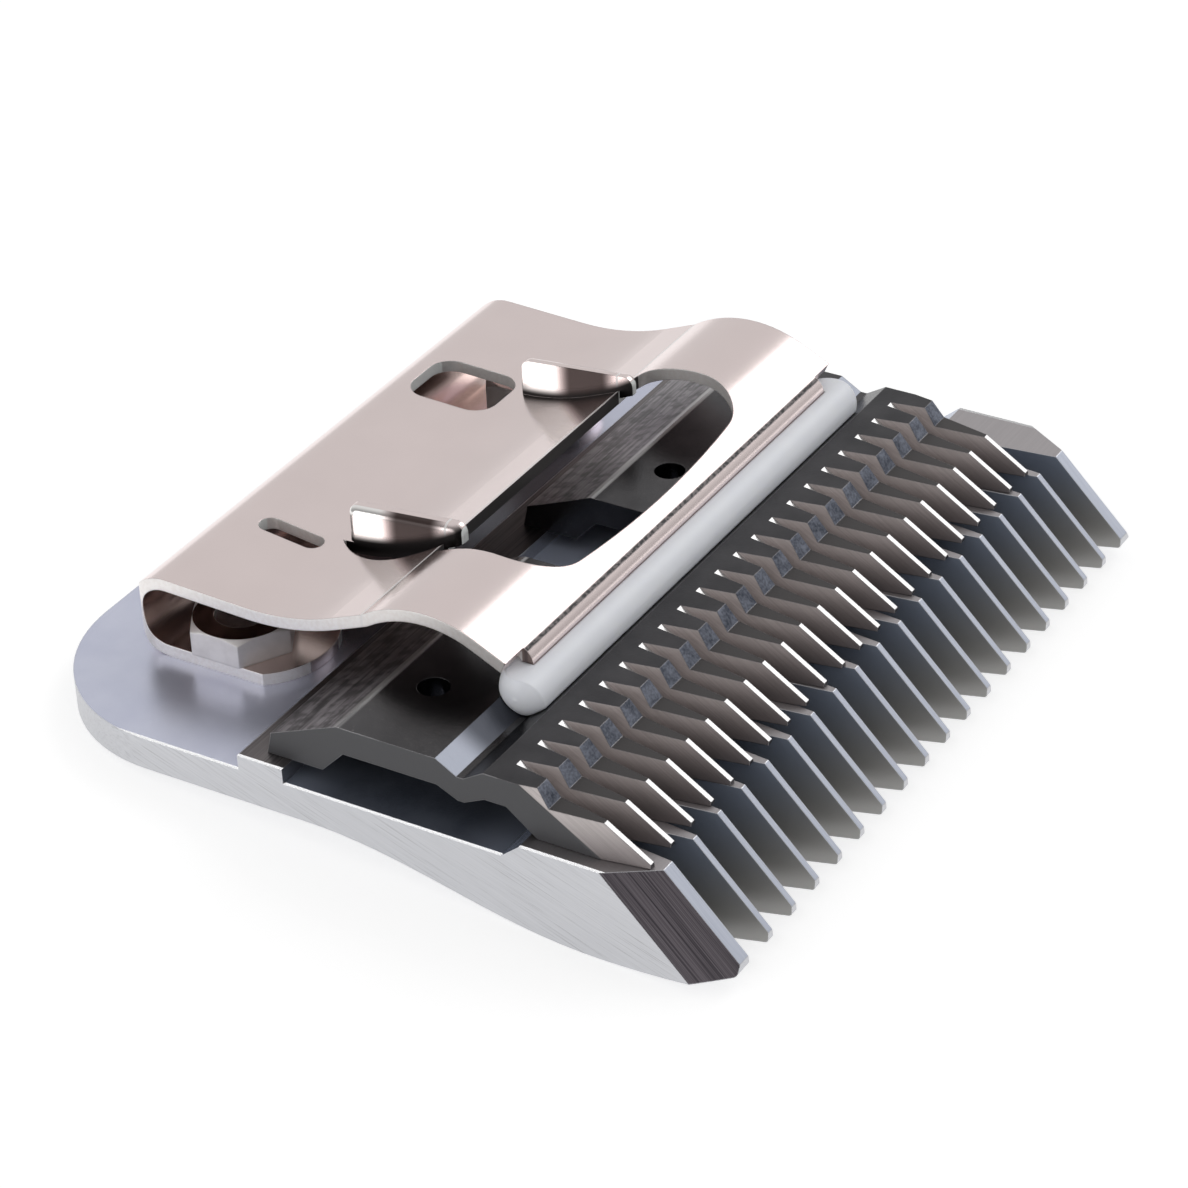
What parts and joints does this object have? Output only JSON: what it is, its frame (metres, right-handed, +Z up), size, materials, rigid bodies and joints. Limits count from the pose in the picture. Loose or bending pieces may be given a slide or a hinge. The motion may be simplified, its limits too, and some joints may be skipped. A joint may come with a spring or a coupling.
{
  "type": "detachable hair clipper blade set",
  "caption": "Detachable clipper blade: toothed steel comb, cutter sliding across it under a folded nickel spring with hinge ears, and a white guide bar.",
  "frame": {"origin": "middle of the bounding box at the lowest line of the comb's underside", "axes": "+X across the teeth, the way the cutter slides; -Y the way the teeth point; +Z up from the comb to the spring, the side that faces the clipper"},
  "size_m": [0.05, 0.045, 0.0125],
  "materials": {
    "ground_steel": "ground and lapped steel",
    "black_steel": "blackened steel with bright ground teeth",
    "nickel_sheet": "nickel plated spring sheet",
    "white_plastic": "white moulded plastic",
    "screw_steel": "plain steel",
    "bright_nickel": "nickel plated"
  },
  "bodies": {
    "blade_base": {"comb": "ground_steel", "tension_spring": "nickel_sheet", "blade_guide": "white_plastic", "left_screw": "screw_steel", "right_screw": "screw_steel", "left_nut": "bright_nickel", "right_nut": "bright_nickel"},
    "sliding_cutter": {"cutter": "black_steel"}
  },
  "joints": [
    {"name": "cutter_stroke", "type": "slide", "parent": "blade_base", "child": "sliding_cutter", "axis": [1, 0, 0], "range_m": [0, 0.0036]}
  ]
}
